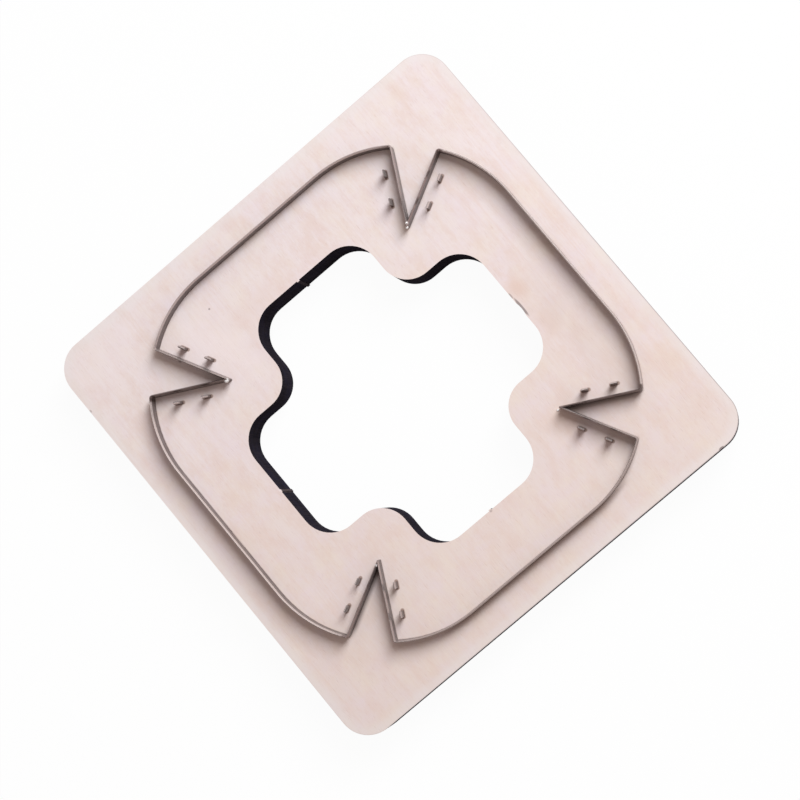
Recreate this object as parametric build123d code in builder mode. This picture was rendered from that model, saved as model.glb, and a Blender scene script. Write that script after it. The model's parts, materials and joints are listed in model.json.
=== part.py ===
from build123d import *
import math
import os

# A steel rule die that cuts a rounded square blank with a V notch at each corner.
# The board lies flat with its back face at z = 0 and the cutting edges point up.
# The origin is the middle of the board's back face and the board's sides run along X and Y.

os.makedirs("parts", exist_ok=True)

# Outline of the blank, measured to the middle of the rule's thickness.
cut_width = 129.6
side_arc_radius = 39.0
side_arc_setback = 41.5
notch_mouth_width = 14.3
notch_angle = 34.4

# Board, with its margin outside the rule.
board_thickness = 18.0
board_margin = 10.2
board_corner_radius = 9.45

# Cross-shaped window in the middle of the board.
window_margin = 19.7
window_notch_land = 15.93
window_arm_corner_radius = 9.7
window_throat_radius = 9.1

# Steel rule on edge: two-point stock with a centre bevel, 23.80 mm high in all.
rule_thickness = 0.71
rule_stand = 5.8
rule_bevel_height = 1.1
rule_edge_land = 0.04
rule_bend_inner_radius = 0.35
rule_tip_ground_off = 0.7
rule_slot_clearance = 0.02

# Solid bridges, one in each side, that join the inner board to the outer, and the rule's notches over them.
bridge_width = 6.0
bridge_offset = -3.0
bridge_side_clearance = 0.5
bridge_head_clearance = 0.3

# Stitch blades: short pieces of the same rule that cut the stitch slits, two beside each leg of a notch.
stitch_blade_length = 2.0
stitch_leg_distance = 3.55
stitch_first_station = 7.85
stitch_pitch = 8.8
stitches_per_leg = 2

# Broken tabs on the window's walls, and the bite where the fourth tab tore out.
tab_width = 0.9
left_tab_length = 0.35
left_tab_offset = -0.6
front_tab_length = 0.25
front_tab_offset = 0.1
right_tab_length = 0.35
right_tab_offset = -0.35
bite_offset = 5.2
bite_length = 4.6
bite_depth = 0.3

# Sizes that follow from those above.
half_cut = cut_width / 2
board_side = cut_width + 2 * board_margin
window_span = cut_width - 2 * window_margin
rule_height = board_thickness + rule_stand
rule_bend_radius = rule_bend_inner_radius + rule_thickness / 2
slot_width = rule_thickness + 2 * rule_slot_clearance
stitch_slot_length = stitch_blade_length + 2 * rule_slot_clearance
half_notch = notch_angle / 2

# The arc at the right end of one side, tangent to the side's straight middle.
arc_center_x = half_cut - side_arc_setback
arc_center_y = half_cut - side_arc_radius

# The notch lies on the diagonal: its mouth corner is on the arc, half the mouth's width off the diagonal.
half_mouth = notch_mouth_width / 2
arc_center_along = (arc_center_x + arc_center_y) / math.sqrt(2)
arc_center_off = (arc_center_y - arc_center_x) / math.sqrt(2)
mouth_along = arc_center_along + math.sqrt(side_arc_radius**2 - (half_mouth - arc_center_off) ** 2)
mouth_x = (mouth_along - half_mouth) / math.sqrt(2)
mouth_y = (mouth_along + half_mouth) / math.sqrt(2)
notch_depth = half_mouth / math.tan(math.radians(half_notch))
apex_along = mouth_along - notch_depth
apex_x = apex_along / math.sqrt(2)

# One leg of the notch, seen from its apex, and the sharp tip of the rule's outer face.
leg_direction = 45 + half_notch
leg_x = math.cos(math.radians(leg_direction))
leg_y = math.sin(math.radians(leg_direction))
tip_reach = rule_thickness / 2 / math.sin(math.radians(half_notch))
ground_along = apex_along - tip_reach + rule_tip_ground_off

# The window's throats stop short of the points of the notches, which sets the width of its arms.
throat_along = apex_along - window_notch_land - window_throat_radius * (math.sqrt(2) - 1)
window_arm_width = math.sqrt(2) * throat_along

# The arc from the end of the straight middle to the mouth of the notch.
mouth_arc_angle = math.degrees(math.atan2(mouth_y - arc_center_y, mouth_x - arc_center_x))


def strip_corners(middle):
    """Corners of the rule's cross-section, as places across the strip and heights."""
    return [
        (middle + rule_thickness / 2, 0),
        (middle + rule_thickness / 2, rule_height - rule_bevel_height),
        (middle + rule_edge_land / 2, rule_height),
        (middle - rule_edge_land / 2, rule_height),
        (middle - rule_thickness / 2, rule_height - rule_bevel_height),
        (middle - rule_thickness / 2, 0),
    ]


# Right half of one side of the outline, run past the apex so that the mitre can trim it.
with BuildLine() as half_side:
    Line((0, half_cut), (arc_center_x, half_cut))
    CenterArc((arc_center_x, arc_center_y), side_arc_radius, 90, mouth_arc_angle - 90)
    Line((mouth_x, mouth_y), (apex_x - 2 * tip_reach * leg_x, apex_x - 2 * tip_reach * leg_y))
    fillet(half_side.vertices().sort_by_distance((mouth_x, mouth_y))[0], rule_bend_radius)

# Places of the stitch blades of one side: on the blank's side of its two legs, and parallel to them.
stitch_places = []
for stitch in range(stitches_per_leg):
    station = stitch_first_station + stitch * stitch_pitch
    place_x = apex_x + station * leg_x - stitch_leg_distance * leg_y
    place_y = apex_x + station * leg_y + stitch_leg_distance * leg_x
    stitch_places.append(Location((place_x, place_y), leg_direction))
    stitch_places.append(Location((-place_x, place_y), -leg_direction))

# Slot for one side of the rule: a quarter of the closed slot, broken by its bridge.
with BuildSketch() as side_slot:
    trace(half_side.line, slot_width)
    mirror(about=Plane.YZ)
    with BuildSketch(mode=Mode.INTERSECT):
        Polygon((0, 0), (board_side, board_side), (-board_side, board_side), align=None)
    for turn in (-45, 45):
        with Locations(Location((0, 0), turn)):
            with Locations((0, ground_along / 2 - rule_slot_clearance / 2)):
                Rectangle(2 * tip_reach, ground_along - rule_slot_clearance, mode=Mode.SUBTRACT)
    with Locations((bridge_offset, half_cut)):
        Rectangle(bridge_width, 2 * rule_thickness, mode=Mode.SUBTRACT)

# Window: a cross with rounded ends and rounded throats.
with BuildSketch() as window:
    Rectangle(window_span, window_arm_width)
    Rectangle(window_arm_width, window_span)
    fillet(window.vertices().group_by(SortBy.DISTANCE)[0], window_throat_radius)
    fillet(window.vertices().group_by(SortBy.DISTANCE)[-1], window_arm_corner_radius)
    with Locations((-(window_span - left_tab_length) / 2, left_tab_offset)):
        Rectangle(left_tab_length, tab_width, mode=Mode.SUBTRACT)
    with Locations((front_tab_offset, -(window_span - front_tab_length) / 2)):
        Rectangle(tab_width, front_tab_length, mode=Mode.SUBTRACT)
    with Locations(((window_span - right_tab_length) / 2, right_tab_offset)):
        Rectangle(right_tab_length, tab_width, mode=Mode.SUBTRACT)
    with BuildLine():
        bite_start = (bite_offset - bite_length / 2, window_span / 2)
        bite_end = (bite_offset + bite_length / 2, window_span / 2)
        SagittaArc(bite_start, bite_end, bite_depth)
        Line(bite_end, bite_start)
    make_face()

# Board with its slots and window cut through.
with BuildPart() as die_board:
    with BuildSketch():
        RectangleRounded(board_side, board_side, board_corner_radius)
        add(window.sketch, mode=Mode.SUBTRACT)
        with PolarLocations(0, 4):
            add(side_slot.sketch, mode=Mode.SUBTRACT)
            with Locations(*stitch_places):
                Rectangle(stitch_slot_length, slot_width, mode=Mode.SUBTRACT)
    extrude(amount=board_thickness)

die_board.part.label = "die_board"
export_step(die_board.part, "parts/die_board.step")

# One length of rule: the bevelled strip swept along half a side and mirrored, mitred on the diagonals.
with BuildPart() as rule_length:
    with BuildSketch(Plane.YZ):
        with BuildLine():
            Polyline(*strip_corners(half_cut), close=True)
        make_face()
    sweep(path=half_side.line)
    mirror(about=Plane.YZ)
    split(bisect_by=Plane((0, 0, 0), z_dir=(-1, 1, 0)), keep=Keep.TOP)
    split(bisect_by=Plane((0, 0, 0), z_dir=(1, 1, 0)), keep=Keep.TOP)
    with BuildSketch():
        for turn in (-45, 45):
            with Locations(Location((0, 0), turn)):
                with Locations((0, ground_along / 2)):
                    Rectangle(4 * tip_reach, ground_along)
    extrude(amount=rule_height, mode=Mode.SUBTRACT)
    with BuildSketch():
        with Locations((bridge_offset, half_cut)):
            Rectangle(bridge_width + 2 * bridge_side_clearance, 4 * rule_thickness)
    extrude(amount=board_thickness + bridge_head_clearance, mode=Mode.SUBTRACT)

side_turns = {"rule_back": 0, "rule_left": 90, "rule_front": 180, "rule_right": 270}
for name, turn in side_turns.items():
    length = rule_length.part.rotate(Axis.Z, turn)
    length.label = name
    export_step(length, f"parts/{name}.step")

# One stitch blade: a short piece of the strip that stands over the origin with its edge along X.
with BuildPart() as stitch_blade:
    with BuildSketch(Plane.YZ):
        with BuildLine():
            Polyline(*strip_corners(0), close=True)
        make_face()
    extrude(amount=stitch_blade_length / 2, both=True)

blade_number = 0
for turn in side_turns.values():
    for place in stitch_places:
        blade_number += 1
        blade = stitch_blade.part.moved(place).rotate(Axis.Z, turn)
        blade.label = f"stitch_blade_{blade_number:02d}"
        export_step(blade, f"parts/stitch_blade_{blade_number:02d}.step")
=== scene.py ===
# %% [markdown]
# # A steel rule die on a white table
#
# A steel rule die works like a pastry cutter. A plywood board holds a strip of hardened steel on edge,
# and a press pushes the strip through leather or card. This die cuts a square blank with a V notch at
# each corner, and the short blades beside the notches cut its stitch slits.
#
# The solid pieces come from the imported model, which is the fixed frame. They are already at their real
# size and place, in metres, with the board's back face on the table at z = 0 and the cutting edges
# pointing up. This lesson gives them their looks: first the camera and the light, then the wood, then the
# steel.

# %% Load the frame
import json
import math

import bmesh
import bpy
from mathutils import Matrix, Vector


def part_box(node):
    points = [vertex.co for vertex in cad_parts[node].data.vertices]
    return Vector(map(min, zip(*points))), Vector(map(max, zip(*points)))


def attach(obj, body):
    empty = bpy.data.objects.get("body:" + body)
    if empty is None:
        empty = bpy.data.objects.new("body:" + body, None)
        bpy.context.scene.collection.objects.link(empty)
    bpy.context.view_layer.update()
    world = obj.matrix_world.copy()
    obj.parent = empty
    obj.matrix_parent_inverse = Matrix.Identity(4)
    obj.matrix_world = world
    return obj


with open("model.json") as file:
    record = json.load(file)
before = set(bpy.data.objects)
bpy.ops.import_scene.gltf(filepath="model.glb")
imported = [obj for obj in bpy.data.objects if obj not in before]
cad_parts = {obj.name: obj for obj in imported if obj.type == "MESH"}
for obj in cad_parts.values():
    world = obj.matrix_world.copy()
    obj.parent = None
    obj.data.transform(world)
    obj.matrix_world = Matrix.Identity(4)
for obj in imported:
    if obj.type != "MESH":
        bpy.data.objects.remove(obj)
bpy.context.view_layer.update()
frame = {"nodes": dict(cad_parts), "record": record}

MM = 0.001
nodes = frame["nodes"]
board_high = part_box("die_board")[1]
rule_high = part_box("rule_back")[1]
board_half = board_high.x / MM
board_top = board_high.z / MM
edge_top = rule_high.z / MM
print("pieces in the frame:", len(nodes))
print("board top at", round(board_top, 2), "mm and cutting edges at", round(edge_top, 2), "mm")

# %% [markdown]
# ## The camera
#
# The photograph looks almost straight down, from a little beyond one corner, so that the walls of the
# window show on the far sides only. A camera is three directions and a place. It looks along its own -Z,
# so the view direction comes from two points, and the picture's right-hand direction is given as a turn
# in the plane of the board. A long lens from three quarters of a metre keeps the square from looking
# tapered.

# %% Camera
camera_place = Vector((87.68, 65.72, 750.05)) * MM
camera_target = Vector((2.51, 0.03, 18.0)) * MM
picture_right_turn = math.radians(49.78)
focal_length = 111.47
nearest_seen = 0.01

forward = (camera_target - camera_place).normalized()
right = Vector((math.cos(picture_right_turn), math.sin(picture_right_turn), 0))
right = (right - right.dot(forward) * forward).normalized()
up = right.cross(forward)

camera = bpy.data.objects.new("camera", bpy.data.cameras.new("camera"))
camera_turn = Matrix((right, up, -forward)).transposed().to_4x4()
camera.matrix_world = Matrix.Translation(camera_place) @ camera_turn
camera.data.lens = focal_length
camera.data.clip_start = nearest_seen
bpy.context.scene.collection.objects.link(camera)
bpy.context.scene.camera = camera
bpy.context.scene.view_settings.view_transform = "Standard"
print("camera is", round((camera_place - camera_target).length, 3), "m from the board")

# %% [markdown]
# ## Shader sums in plain Python
#
# A finish is a chain of small sums: a noise times a strength, one minus a mask, the distance to a line.
# Drawn as nodes, such sums are hard to read. This small class holds one output of a node and answers to
# + - * / and **, and each answer adds the Math node that does the sum. Every other kind of node comes
# from one method, which sets the node up first and then feeds its sockets.

# %% Shader sums
class Signal:
    """One output of a shader node, used in sums as if it were a number."""

    def __init__(self, tree, socket):
        self.tree = tree
        self.socket = socket

    def node(self, kind, settings, inputs, output=0):
        made = self.tree.nodes.new(kind)
        for name, value in settings.items():
            setattr(made, name, value)
        for name, value in inputs.items():
            if isinstance(value, Signal):
                self.tree.links.new(value.socket, made.inputs[name])
            else:
                made.inputs[name].default_value = value
        return Signal(self.tree, made.outputs[output]) if made.outputs else None

    def math(self, operation, *values):
        return self.node("ShaderNodeMath", {"operation": operation}, dict(enumerate(values)))

    def __add__(self, other):
        return self.math("ADD", self, other)

    def __radd__(self, other):
        return self.math("ADD", other, self)

    def __sub__(self, other):
        return self.math("SUBTRACT", self, other)

    def __rsub__(self, other):
        return self.math("SUBTRACT", other, self)

    def __mul__(self, other):
        return self.math("MULTIPLY", self, other)

    def __rmul__(self, other):
        return self.math("MULTIPLY", other, self)

    def __truediv__(self, other):
        return self.math("DIVIDE", self, other)

    def __pow__(self, other):
        return self.math("POWER", self, other)

    def __abs__(self):
        return self.math("ABSOLUTE", self)


# %% [markdown]
# ## Masks
#
# A mask is a signal between 0 and 1 that says where something is painted. Nearly all of them start as a
# distance or a noise and end in a soft step between two values. Where the first value is the higher one,
# the mask falls, which suits a stain: nothing at its reach, and full strength at its core. A colour is
# laid over another with a mask, in the order in which the marks were made.

# %% Masks
def least(first, second):
    return first.math("MINIMUM", first, second)


def most(first, second):
    return first.math("MAXIMUM", first, second)


def length(first, second):
    """The length of a flat step, from its two sides."""
    return (first**2 + second**2) ** 0.5


def fade(signal, start, end):
    """0 at start and 1 at end, soft between the two and flat beyond them. Start may be the higher."""
    inputs = {"Value": signal, "From Min": start, "From Max": end}
    return signal.node("ShaderNodeMapRange", {"interpolation_type": "SMOOTHSTEP"}, inputs)


def blend(mask, under, over):
    """The colour under where mask is 0 and the colour over where it is 1."""
    # Mix gives its number, vector and colour sockets the same names, so the colour ones go by their place.
    factor, first, second, mixed = 0, 6, 7, 2
    colors = [color if isinstance(color, Signal) else (*color, 1) for color in (under, over)]
    inputs = {factor: mask, first: colors[0], second: colors[1]}
    return mask.node("ShaderNodeMix", {"data_type": "RGBA"}, inputs, mixed)


# %% [markdown]
# ## Where a material starts and ends
#
# Every finish starts from the place on the piece. The pieces sit at the origin, so their Object
# coordinates are the frame's own, and in millimetres they can be set against the sizes of the die. Noise
# has a density for each direction, and a low one stretches it, as wood grain is stretched. Every finish
# ends in one Principled shader with a bump.

# %% Start and end of a material
def empty_material(name):
    """A new material whose nodes are cleared, and its node tree."""
    material = bpy.data.materials.new(name)
    material.use_nodes = True
    material.node_tree.nodes.clear()
    return material, material.node_tree


def start_material(name):
    """A new material, and the place on the piece in millimetres."""
    material, tree = empty_material(name)
    place = Signal(tree, tree.nodes.new("ShaderNodeTexCoord").outputs["Object"])
    inputs = {"Vector": place, "Scale": 1 / MM}
    return material, place.node("ShaderNodeVectorMath", {"operation": "SCALE"}, inputs)


def parts_of(vector):
    """The x, y and z of a vector, as three signals."""
    return [vector.node("ShaderNodeSeparateXYZ", {}, {0: vector}, axis) for axis in range(3)]


def noise(place, density, detail=2, roughness=0.5):
    """Smooth clouds from 0 to 1, with density the clouds in each millimetre along x, y and z."""
    stretched = place.node("ShaderNodeVectorMath", {"operation": "MULTIPLY"}, {0: place, 1: density})
    inputs = {"Vector": stretched, "Scale": 1, "Detail": detail, "Roughness": roughness}
    return place.node("ShaderNodeTexNoise", {}, inputs)


def finish_material(material, color, roughness, height, depth, metallic=0.0, gloss=0.5, tint=1.0):
    """Ends a material in a Principled shader, with a bump whose full height is depth in millimetres."""
    bump = height.node("ShaderNodeBump", {}, {"Strength": 1, "Distance": depth * MM, "Height": height})
    shader = height.node(
        "ShaderNodeBsdfPrincipled",
        {},
        {
            "Base Color": color,
            "Roughness": roughness,
            "Metallic": metallic,
            "Specular IOR Level": gloss,
            "Specular Tint": (tint, tint, tint, 1),
            "Normal": bump,
        },
    )
    height.node("ShaderNodeOutputMaterial", {}, {"Surface": shader})
    print(material.name, "has", len(material.node_tree.nodes), "nodes")
    return material


# %% [markdown]
# ## The light
#
# The photograph has one large soft light beyond the board's back side, at +Y, which is up and to the right
# in the picture. It stands about halfway up the sky, so the rule throws a wide soft shadow inwards on that
# side and outwards on the opposite one. A large area light makes such a shadow: dark at the rule, and
# fading over its own height.

# %% Light
lamp_width = 0.5
lamp_height = 0.8
lamp_watts = 13.6
lamp_color = (0.94, 0.98, 1.0)
lamp_place = Vector((-0.25, 0.70, 0.92))

lamp = bpy.data.objects.new("window_light", bpy.data.lights.new("window_light", "AREA"))
lamp.data.shape = "RECTANGLE"
lamp.data.size = lamp_width
lamp.data.size_y = lamp_height
lamp.data.energy = lamp_watts
lamp.data.color = lamp_color
lamp.location = lamp_place
lamp.rotation_euler = (-lamp_place).to_track_quat("-Z", "Y").to_euler()
bpy.context.scene.collection.objects.link(lamp)
print("lamp is", round(lamp_place.length, 2), "m from the middle of the board")

# %% [markdown]
# ## The world
#
# The world adds a little even light, slightly warm as in the photograph's shadows. A ray that comes
# straight from the camera, or by way of the steel, is shown plain white instead. Light Path tells the two
# kinds of ray apart, so the background turns white without any more light on the object.

# %% World
white = (1, 1, 1)
ambient_warm = (0.33, 0.275, 0.255)
shown_rays = ("Is Camera Ray", "Is Glossy Ray", "Is Transmission Ray")


def shown(tree):
    """1 for a ray that brings a background to the camera, and 0 for one that only carries light."""
    rays = tree.nodes.new("ShaderNodeLightPath").outputs
    camera_ray, glossy_ray, transmission_ray = [Signal(tree, rays[name]) for name in shown_rays]
    return least(camera_ray + glossy_ray + transmission_ray, 1)


world = bpy.data.worlds.new("studio")
world.use_nodes = True
world.node_tree.nodes.clear()
bpy.context.scene.world = world
sky_shown = shown(world.node_tree)
sky_color = blend(sky_shown, ambient_warm, white)
sky = sky_shown.node("ShaderNodeBackground", {}, {"Color": sky_color, "Strength": 1})
sky_shown.node("ShaderNodeOutputWorld", {}, {"Surface": sky})
print("world has", len(world.node_tree.nodes), "nodes")

# %% [markdown]
# ## The table
#
# The object stands on plain white. A real white table under soft light is never pure white in a picture,
# so the camera is shown a mix: mostly plain white, and some of the true surface, which keeps the shadow.
# The table is a bmesh grid of a single square.

# %% Table
table_half = 3.0
table_grey = (0.9, 0.9, 0.9)
white_share = 0.96


def piece(name, shape, finish):
    """A new object in the scene, with a finished bmesh as its mesh and one material."""
    mesh = bpy.data.meshes.new(name)
    shape.to_mesh(mesh)
    shape.free()
    mesh.materials.append(finish)
    made = bpy.data.objects.new(name, mesh)
    bpy.context.scene.collection.objects.link(made)
    return made


def white_table():
    material, tree = empty_material("white_table")
    table_shown = shown(tree)
    surface = table_shown.node("ShaderNodeBsdfDiffuse", {}, {"Color": (*table_grey, 1)})
    plain = table_shown.node("ShaderNodeEmission", {}, {"Color": (*white, 1), "Strength": 1})
    shares = {0: table_shown * white_share, 1: surface, 2: plain}
    mixed = table_shown.node("ShaderNodeMixShader", {}, shares)
    table_shown.node("ShaderNodeOutputMaterial", {}, {"Surface": mixed})
    return material


table_shape = bmesh.new()
bmesh.ops.create_grid(table_shape, x_segments=1, y_segments=1, size=table_half)
table = piece("table", table_shape, white_table())
print("table is", 2 * table_half, "m wide")

# %% [markdown]
# ## Sizes of the outline
#
# The laser that cuts the slots scorches the board right beside them. To paint that, the finish has to know
# how far each spot is from a slot. The outline is the same on all four sides and mirrored about the
# diagonals, so one eighth of it is enough: a straight, an arc and one leg of a notch with its two stitch
# blades. A spot near a leg is measured along the leg, from the notch's point, and across it.

# %% Outline of the blank, in millimetres
rule_thickness = 0.71
half_cut = rule_high.y / MM - rule_thickness / 2
arc_radius = 39.0
arc_setback = 41.5
arc_center = Vector((half_cut - arc_setback, half_cut - arc_radius))
notch_angle = 34.4
leg_angle = math.radians(45 + notch_angle / 2)
leg_length = 24.2
apex = 35.53
mouth_near = apex + leg_length * math.cos(leg_angle)
stitch_first = 7.85
stitch_pitch = 8.8
stitch_stations = (stitch_first, stitch_first + stitch_pitch)
stitch_distance = 3.55
stitch_length = 2.0


def eighth(x, y):
    """The larger and the smaller of a spot's two distances from the centre lines."""
    return most(abs(x), abs(y)), least(abs(x), abs(y))


def from_leg(far, near):
    """How far along the leg of the notch a spot lies, and how far off it on the side of the blank."""
    along = (near - apex) * math.cos(leg_angle) + (far - apex) * math.sin(leg_angle)
    across = (far - apex) * math.cos(leg_angle) - (near - apex) * math.sin(leg_angle)
    return along, across


print("middle line of the rule is", round(half_cut, 2), "mm from the centre line")
print("mouth of a notch is", round(mouth_near, 2), "mm from the nearer centre line")

# %% [markdown]
# ## Distances to the cuts
#
# Each distance is worked out as on paper. Past the end of a line, the distance to the line and the
# distance past its end are the two sides of a step, and the step's length counts. On an arc, it is the
# distance to its centre less its radius, and what lies past its ends is added. The nearest of the
# straight, the arc and the leg is the slot.

# %% Distances to the cuts
def distance_to_leg(far, near):
    """How far a spot is from the middle line of the nearest leg of a notch."""
    along, across = from_leg(far, near)
    return length(across, most(abs(along - leg_length / 2) - leg_length / 2, 0))


def distance_to_slot(far, near):
    """How far a spot is from the middle line of the slot for the rule."""
    straight = length(far - half_cut, most(near - arc_center.x, 0))
    arc = abs(length(near - arc_center.x, far - arc_center.y) - arc_radius)
    off_arc = most(arc_center.x - near, 0) + most(near - mouth_near, 0)
    return least(least(straight, arc + off_arc), distance_to_leg(far, near))


def distance_to_stitch(far, near):
    """How far a spot is from the middle line of the nearest stitch blade."""
    along, across = from_leg(far, near)
    spots = []
    for station in stitch_stations:
        beyond = most(abs(along - station) - stitch_length / 2, 0)
        spots.append(length(across - stitch_distance, beyond))
    return least(*spots)


# %% [markdown]
# ## The face of the wood
#
# The board is birch plywood of eighteen millimetres. Its face is sanded and bare: pale, faintly pink and
# mottled in cream, lilac and rose, with fine grain along X and short brown flecks. Noise does all of it.
# Broad clouds turn the face from cool to pale, and dimmer towards +X as painted light that falls off.
# Clouds with much fine detail mottle it, and noise that is stretched along X draws the grain and the
# flecks.

# %% Face of the plywood
# The cool tone is also the brighter one, as painted light.
cool_brighter_face = (0.866, 0.778, 0.780)
pale_dimmer_face = (0.810, 0.696, 0.658)
warm_face = (0.78, 0.61, 0.54)
cream_face = (0.86, 0.75, 0.63)
lilac_face = (0.82, 0.70, 0.76)
fleck_brown = (0.50, 0.33, 0.27)

# The face is cool and brighter at the first x and pale and dimmer at the second, and the clouds shift the
# change sideways. The change in hue is the wood's own tone, and the fall in brightness is partly painted
# light.
brighter_to_dimmer = (-50, 130)
cloud_shift = 80
cloud_density = (0.03, 0.06, 0.06)
cloud_detail = 3

# Mottling: density along x, y and z, roughness of the noise, strength, and colour.
mottles = (
    ((0.06, 0.12, 0.12), 0.7, 0.4, cream_face),
    ((0.12, 0.07, 0.12), 0.7, 0.4, lilac_face),
    ((0.10, 0.20, 0.20), 0.75, 0.5, warm_face),
)
mottle_detail = 6

# The noise from which a mark starts to show, and at which it shows in full.
mottle_shows = (0.4, 0.7)
grain_shows = (0.45, 0.8)
fleck_shows = (0.66, 0.84)
grain_strength = 0.3
fleck_strength = 0.12


def sanded_face(place, x, grain, flecks):
    """The bare face, before anything was done to it."""
    clouds = noise(place, cloud_density, cloud_detail)
    face = blend(fade(x + clouds * cloud_shift, *brighter_to_dimmer), cool_brighter_face, pale_dimmer_face)
    for density, roughness, strength, tone in mottles:
        mottling = noise(place, density, mottle_detail, roughness)
        face = blend(fade(mottling, *mottle_shows) * strength, face, tone)
    face = blend(fade(grain, *grain_shows) * grain_strength, face, warm_face)
    return blend(fade(flecks, *fleck_shows) * fleck_strength, face, fleck_brown)


print("the face is mottled by", len(mottles), "noises")

# %% [markdown]
# ## Stains on the face
#
# Wood is never even. A few warm, dull or light patches lie where the photograph has them, and small grey
# scars lie beside the broken tabs and at nicks. Each is an oval, and noise that is added to the distance
# from its middle makes its outline ragged.

# %% Stains
light_face = (0.90, 0.80, 0.80)
dull_face = (0.70, 0.58, 0.54)
mark_grey = (0.22, 0.18, 0.18)

# Each stain: middle x and y, half its length along x and along y, strength, and colour.
patches = (
    (-0.4, 48.8, 5.0, 3.8, 0.9, warm_face),
    (14.5, 48.8, 7.0, 4.0, 0.5, warm_face),
    (45.5, 66.8, 9.0, 5.0, 0.4, warm_face),
    (37.5, 33.1, 9.0, 7.0, 0.4, warm_face),
    (41.0, 8.8, 10.0, 6.0, 0.35, warm_face),
    (1.2, -64.4, 5.0, 3.0, 0.4, warm_face),
    (-47.8, -12.7, 5.0, 14.0, 0.3, warm_face),
    (22.0, 54.0, 34.0, 8.0, 0.35, dull_face),
    # The next dull patch is painted shade at the notch at +X and -Y, and the light patch after it is
    # painted light at the notch at -X and -Y.
    (48.0, -50.0, 14.0, 20.0, 0.2, dull_face),
    (-44.0, -38.0, 20.0, 16.0, 0.6, light_face),
    (-66.0, -62.0, 12.0, 16.0, 0.3, light_face),
    (-0.3, -45.3, 0.8, 0.5, 1.0, light_face),
)
scars = (
    (4.7, 45.6, 3.1, 0.4, 0.75, mark_grey),
    (0.3, 45.3, 0.9, 0.3, 0.5, mark_grey),
    (45.4, -0.35, 0.4, 0.5, 0.4, mark_grey),
    (74.75, 63.6, 0.35, 0.9, 0.8, mark_grey),
    (-50.0, -43.8, 0.7, 0.4, 0.6, mark_grey),
    (-56.2, -26.8, 0.3, 0.3, 0.6, mark_grey),
    (-56.2, -74.7, 0.5, 0.3, 0.4, mark_grey),
)

# How ragged each kind is, and where its outline starts and is full, in shares of its half length.
patch_raggedness = 2
scar_raggedness = 1
patch_outline = (1.2, 0.1)
scar_outline = (1.3, 0.7)


def stained(face, x, y, ragged, stains, raggedness, outline):
    """The face with each stain of a list painted over it."""
    for middle_x, middle_y, half_x, half_y, strength, tone in stains:
        away = length((x - middle_x) / half_x, (y - middle_y) / half_y)
        spread = away + (ragged - 0.5) * raggedness
        face = blend(fade(spread, *outline) * strength, face, tone)
    return face


print("stains:", len(patches), "patches and", len(scars), "scars")

# %% [markdown]
# ## Scorch and painted shadow
#
# The laser left a thin scorched line along each slot and a darker one around each stitch blade, which is
# darkened further as painted shade at the foot of each blade. A wider faint band outside the right length
# of the rule is painted shadow. Each is a mask that falls with the distance from the middle line of the
# cut, and where two overlap the stronger one counts.

# %% Scorch and painted shadow beside the cuts
scorch_and_shadow_brown = (0.30, 0.19, 0.15)

# Each scorch and the painted shadow are gone at the first distance from the middle line and full at the
# second, in millimetres.
slot_scorch = (0.8, 0.35)
# The stitch scorch is partly painted shade at the foot of each blade, and the band is painted shadow
# outside the right length of the rule.
stitch_scorch_and_shade = (0.8, 0.4)
band_shadow = (2.8, 0.4)
shadow_band_starts = (half_cut - 1, half_cut + 0.2)
slot_least = 0.05
slot_ragged = 0.4
stitch_strength = 0.8
shadow_band_strength = 0.45


def scorched(x, slot, stitch, ragged):
    """How scorched a spot is from its distances to the slots, with painted shade at the stitch blades and a
    band of painted shadow outside the right length.
    """
    beside_slot = fade(slot, *slot_scorch) * (slot_least + slot_ragged * ragged)
    beside_stitch = fade(stitch, *stitch_scorch_and_shade) * stitch_strength
    # Painted shadow outside the right length of the rule.
    in_shadow_band = fade(slot, *band_shadow) * fade(x, *shadow_band_starts) * shadow_band_strength
    return most(most(beside_slot, beside_stitch), in_shadow_band)


print("slots are scorched out to", slot_scorch[0], "mm from their middle line")

# %% [markdown]
# ## Painted shade in the notches
#
# Two of the notches, the ones at positive x, are painted dark inside as shade, beside the leg that lies
# nearer to Y. The mask is a product, because each of its factors has to hold: near the slot, on the notch's
# side of the leg, inside the mouth, beside that leg and not the other, and at positive x.

# %% Painted shade in the notches
# A dark brown painted as shade, here in the notches and on two legs of the steel.
painted_shade_brown = (0.10, 0.07, 0.06)
notch_shade_spread = (2.0, 0.5)
notch_shade_strength = 0.6

# Where each factor starts and where it is full, in millimetres.
notch_side = (0.3, -0.2)
notch_mouth = (leg_length + 1, leg_length - 4)
leg_nearer_y = (-0.5, 0.5)
positive_x = (0, 10)


def notch_shade(x, y, far, near, slot):
    """How much painted shade a spot gets."""
    along, across = from_leg(far, near)
    in_notch = fade(across, *notch_side) * fade(along, *notch_mouth)
    beside_leg = fade(slot, *notch_shade_spread) * fade(abs(y) - abs(x), *leg_nearer_y)
    return in_notch * beside_leg * fade(x, *positive_x) * notch_shade_strength


print("soot reaches", notch_shade_spread[0], "mm from the middle line of the leg")

# %% [markdown]
# ## The rim of the board
#
# The face is paler and greyer near the rim, and a fine dark line runs along the two edges at +X and +Y,
# where the charred wall begins. The distance to a rounded square needs no special cases: past the flat
# part of each side, what is left over in x and in y is the step from the middle of the corner's arc.

# %% Rim of the board
rim_pale = (0.84, 0.80, 0.79)
board_corner = 9.45
board_flat = board_half - board_corner

# Gone at the first distance from the rim and full at the second, in millimetres.
rim_spread = (4.0, 1.0)
edge_line = (0.35, 0.05)
lined_corner = (-60, 120)
rim_strength = 0.4
edge_strength = 0.6


def rim_distance(x, y):
    """How far inside the rounded outline of the board a spot lies."""
    return board_corner - length(most(abs(x) - board_flat, 0), most(abs(y) - board_flat, 0))


print("half of a side is flat for", round(board_flat, 2), "mm")

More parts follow.
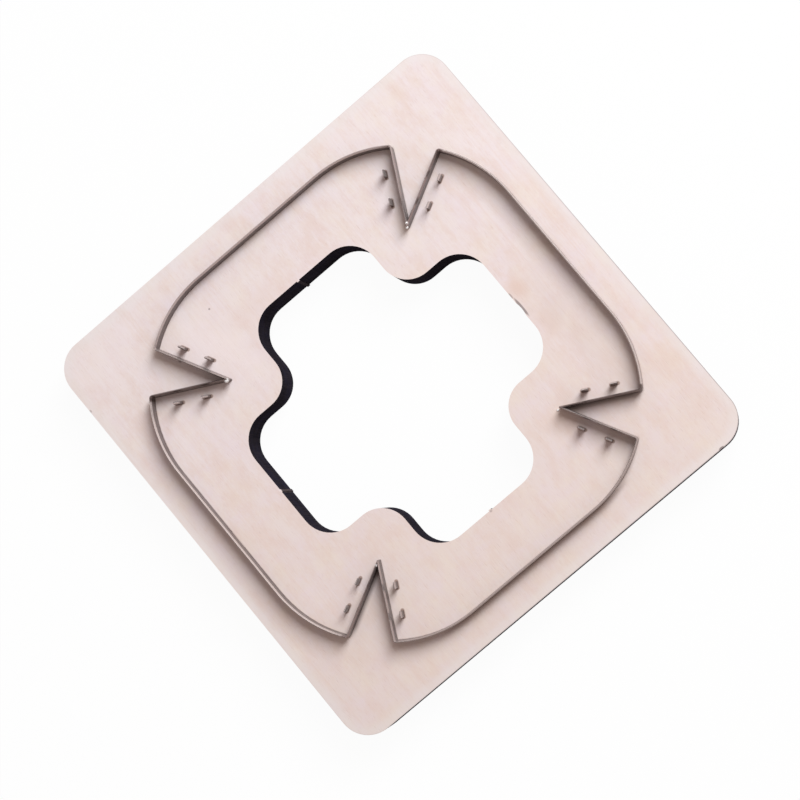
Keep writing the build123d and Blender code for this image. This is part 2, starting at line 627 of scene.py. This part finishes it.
# %% [markdown]
# ## All traces together
#
# What came first is painted first: the rim, the scorch of the laser with its painted shadow, the painted
# shade in the notches, and last the line along the edge.

# %% All traces on the face
def traced_and_shaded(face, x, y, ragged):
    """The face with the rim, the traces of the laser, painted shadow and painted shade painted over it."""
    far, near = eighth(x, y)
    slot = distance_to_slot(far, near)
    stitch = distance_to_stitch(far, near)
    rim = rim_distance(x, y)
    face = blend(fade(rim, *rim_spread) * rim_strength, face, rim_pale)
    # The scorch of the laser with painted shadow, then painted shade in the notches.
    face = blend(scorched(x, slot, stitch, ragged), face, scorch_and_shadow_brown)
    face = blend(notch_shade(x, y, far, near, slot), face, painted_shade_brown)
    return blend(fade(rim, *edge_line) * fade(x + y, *lined_corner) * edge_strength, face, mark_grey)


# %% [markdown]
# ## The walls of the wood
#
# Every wall that the laser cut is charred nearly black, and the layers of the plywood show in it as faint
# brown bands. A sine of the height draws the bands, and upright streaks of noise break them up. Two of the
# tabs that held the window's waste piece left torn, splintered wood, which is paler than the char.

# %% Walls of the plywood
# Clouds of noise mix a dark blue into the black char: the blue is a painted sheen.
char_dark = (0.010, 0.010, 0.016)
char_blue_sheen = (0.018, 0.019, 0.041)
char_brown = (0.042, 0.034, 0.040)
torn_wood = (0.42, 0.32, 0.29)
ply_count = 13

sheen_density = (0.15, 0.15, 0.3)
sheen_shows = (0.35, 0.7)
band_shows = (-0.3, 0.3)
streak_shows = (0.3, 0.7)
band_least = 0.3
band_streaked = 0.4

# Torn wood on the walls of the window: middle x and y, reach, and strength.
torn_tabs = (
    (-45.1, -0.6, 0.65, 0.1),
    (0.1, -45.1, 0.65, 0.2),
)
splinter_density = (4, 4, 0.3)
torn_outline = (1.2, 0.8)
torn_least = 0.3


def charred(place, z, streaks):
    """The colour of a charred wall with its bands, and a painted sheen of dark blue."""
    sheen_clouds = fade(noise(place, sheen_density), *sheen_shows)
    layer = (z * (math.pi * ply_count / board_top)).math("SINE")
    bands = fade(layer, *band_shows) * (band_least + band_streaked * fade(streaks, *streak_shows))
    return blend(bands, blend(sheen_clouds, char_dark, char_blue_sheen), char_brown)


def torn(color, place, x, y, wall):
    """The colour with torn wood painted over the walls where tabs broke off."""
    splinters = noise(place, splinter_density)
    for middle_x, middle_y, reach, strength in torn_tabs:
        away = length(x - middle_x, y - middle_y) / reach
        paler = fade(away + splinters - 0.5, *torn_outline) * (torn_least + splinters)
        color = blend(paler * wall * strength, color, torn_wood)
    return color


print("each of the", ply_count, "layers is", round(board_top / ply_count, 2), "mm thick")

# %% [markdown]
# ## The plywood as one material
#
# Face and wall are told apart by the way that the surface faces, so one material serves the whole board.
# The bump has the fibres and the grain on the face, with the flecks as tiny pits, and the upright streaks
# on the walls. Bare wood has no gloss.

# %% Plywood
upright_wall = (0.85, 0.5)
ragged_density = (0.12, 0.2, 0.2)
grain_density = (0.02, 1.3, 1.3)
fibre_density = (0.3, 7, 7)
fleck_density = (0.45, 3.5, 3.5)
streak_density = (2.5, 2.5, 0.08)
fine_detail = 3
fine_roughness = 0.6

fleck_pits = (0.68, 0.8)
face_bump = 0.4
wall_bump = 2
wood_bump_depth = 0.04
face_roughness = 0.7
wall_smoother = 0.1
fibre_roughness = 0.1


def plywood():
    material, place = start_material("birch_plywood")
    x, y, z = parts_of(place)
    facing = place.node("ShaderNodeNewGeometry", {}, {}, "True Normal")
    wall = fade(abs(parts_of(facing)[2]), *upright_wall)
    ragged = noise(place, ragged_density, fine_detail)
    grain = noise(place, grain_density, fine_detail, fine_roughness)
    fibres = noise(place, fibre_density, 1)
    flecks = noise(place, fleck_density, 0)
    streaks = noise(place, streak_density, fine_detail, fine_roughness)

    face = sanded_face(place, x, grain, flecks)
    face = stained(face, x, y, ragged, patches, patch_raggedness, patch_outline)
    face = traced_and_shaded(face, x, y, ragged)
    face = stained(face, x, y, ragged, scars, scar_raggedness, scar_outline)
    color = torn(blend(wall, face, charred(place, z, streaks)), place, x, y, wall)

    face_height = (fibres + grain - fade(flecks, *fleck_pits)) * face_bump
    height = face_height * (1 - wall) + streaks * wall_bump * wall
    rough = face_roughness - wall_smoother * wall + (fibres - 0.5) * fibre_roughness
    return finish_material(material, color, rough, height, wood_bump_depth, gloss=0)


board_finish = plywood()

# %% [markdown]
# ## Heat tint and painted shade on the steel
#
# The legs of the notches were heated for the solder, so they are duller than the rest of the rule. The legs
# nearer to Y are made duller still as painted shade, and two of them get painted shade in dark brown. The
# left and right lengths are darker too, as painted shade on the sides that turn from the light.

# %% Heat tint and painted shade on the steel
# The dulling fades with the distance from a leg, and a leg nearer to X gets less of it than one nearer to
# Y: heat tint, with painted shade on the legs nearer to Y.
heat_spread = (2.0, 1.2)
side_nearer_y = (-1, 1)
heat_least = 0.6
# Painted shade on the left and right lengths of the rule.
side_shade = 0.5

# The legs with painted shade in dark brown are at the two notches where x and y are nearly the same.
x_less_y = (60, 20)
leg_shade_strength = 0.6


def tarnished_and_shaded(x, y):
    """How dull the steel is at a spot, from heat tint and painted shade, and how much painted shade in dark
    brown it gets.
    """
    nearer_y = fade(abs(y) - abs(x), *side_nearer_y)
    leg = distance_to_leg(*eighth(x, y))
    heat_and_shade = fade(leg, *heat_spread) * (heat_least + (1 - heat_least) * nearer_y)
    tarnish_and_shade = most(heat_and_shade, (1 - nearer_y) * side_shade)
    painted_shade = heat_and_shade * nearer_y * fade(abs(x - y), *x_less_y) * leg_shade_strength
    return tarnish_and_shade, painted_shade


# %% [markdown]
# ## The steel
#
# The rule is hardened strip, rolled and tempered, so it is a dull grey with a brown cast and fine lines
# along its length. Its edge is ground to a bevel on both sides, which is bare bright steel with marks
# across it. A tempered skin is partly an oxide, so the shader is not wholly metallic: that keeps a side
# that faces the light brighter than one that faces away.

# %% Steel
strip_grey = (0.245, 0.20, 0.192)
strip_brown = (0.135, 0.10, 0.096)
ground_bright = (0.90, 0.82, 0.80)
ground_dull = (0.42, 0.34, 0.33)
bevel_height = 1.1
bevel_blur = 0.05
bevel_starts = (edge_top - bevel_height - bevel_blur, edge_top - bevel_height + bevel_blur)

rolled_density = (0.08, 0.08, 7)
blotch_density = (0.2, 0.2, 0.5)
grinding_density = (9, 9, 0.6)
blotch_shows = (0.4, 0.7)
blotch_strength = 0.8
ground_least = 0.7

strip_roughness = 0.22
rolled_roughness = 0.2
strip_metal = 0.4
bevel_metal = 0.2
steel_bump_depth = 0.012
steel_gloss = 0.2
steel_tint = 0.4


def strip_steel():
    material, place = start_material("rule_strip_steel")
    x, y, z = parts_of(place)
    rolled = noise(place, rolled_density, fine_detail, fine_roughness)
    blotches = noise(place, blotch_density, fine_detail)
    grinding = noise(place, grinding_density)

    tarnish_and_shade, painted_shade = tarnished_and_shaded(x, y)
    bevel = fade(z, *bevel_starts)
    strip_stain_and_shade = most(fade(blotches, *blotch_shows) * blotch_strength, tarnish_and_shade)
    strip = blend(strip_stain_and_shade, strip_grey, strip_brown)
    ground = blend(tarnish_and_shade, ground_bright, ground_dull)
    bare = bevel * (ground_least + (1 - ground_least) * grinding)
    # Painted shade in dark brown on two legs of the notches.
    color = blend(painted_shade, blend(bare, strip, ground), painted_shade_brown)

    rough = strip_roughness + (rolled - 0.5) * rolled_roughness
    height = rolled * (1 - bevel) + grinding * bevel
    metal = strip_metal + bevel_metal * bevel
    return finish_material(material, color, rough, height, steel_bump_depth, metal, steel_gloss, steel_tint)


rule_finish = strip_steel()

# %% [markdown]
# ## Put the finishes on
#
# The shapes from the frame are already right, so each keeps its mesh and only gets a better material. The
# frame's record says which of its pieces are wood and which are steel.

# %% Dress the frame's pieces
finishes = {"plywood": board_finish, "rule_steel": rule_finish}
slot_of = {part["node"]: part["material_slot"] for part in frame["record"]["subparts"]}
for name, node in nodes.items():
    for holder in node.material_slots:
        holder.material = finishes[slot_of[name]]
print("dressed", len(slot_of), "pieces in", len(finishes), "finishes")

# %% [markdown]
# ## The look of solder
#
# Solder is a soft alloy that sets bright, with a slightly lumpy and frosted skin. One noise serves for all
# of that: it mixes two greys, dulls the higher spots and feeds the bump.

# %% Finish of the solder
solder_bright = (0.80, 0.76, 0.75)
solder_grey = (0.62, 0.58, 0.57)
lump_density = (3, 3, 3)
solder_roughness = 0.35
lump_roughness = 0.1
solder_metal = 0.8
solder_bump_depth = 0.05


def solder():
    material, place = start_material("solder")
    lumps = noise(place, lump_density)
    color = blend(lumps, solder_bright, solder_grey)
    rough = solder_roughness + lump_roughness * lumps
    return finish_material(material, color, rough, lumps, solder_bump_depth, solder_metal)


solder_finish = solder()

# %% [markdown]
# ## Drops of solder
#
# Two lengths of rule meet at the point of each notch. A few bright drops of solder hold them there, each
# a small flattened ball that is sunk into the steel. They could be spheres of rings and segments, but an
# icosphere has even faces all round, with no pole that catches the light.

# %% Drops of solder
drop_tallness = 0.8
drop_subdivisions = 3

# Each drop: the notch by the signs of its x and y, how far out on the diagonal, how far off it, the height
# of its middle, and its radius.
drops = (
    (-1, 1, 50.75, 0.05, 23.3, 0.5),
    (-1, 1, 49.5, -0.05, 22.4, 0.45),
    (-1, -1, 50.35, -0.3, 22.8, 0.8),
    (1, -1, 51.3, -0.3, 23.2, 0.45),
    (1, 1, 49.1, 0.8, 18.1, 0.4),
)
for number, (side_x, side_y, outwards, off, height, radius) in enumerate(drops, 1):
    flat_x = side_x * (outwards + off) / math.sqrt(2)
    flat_y = side_y * (outwards - off) / math.sqrt(2)
    middle = Vector((flat_x, flat_y, height)) * MM
    shape = Matrix.Translation(middle) @ Matrix.Diagonal((1, 1, drop_tallness, 1))
    ball = bmesh.new()
    bmesh.ops.create_icosphere(ball, subdivisions=drop_subdivisions, radius=radius * MM, matrix=shape)
    for face in ball.faces:
        face.smooth = True
    drop = piece(f"solder_drop_{number}", ball, solder_finish)
    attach(drop, "root")
print("soldered", len(drops), "drops at the points of the notches")
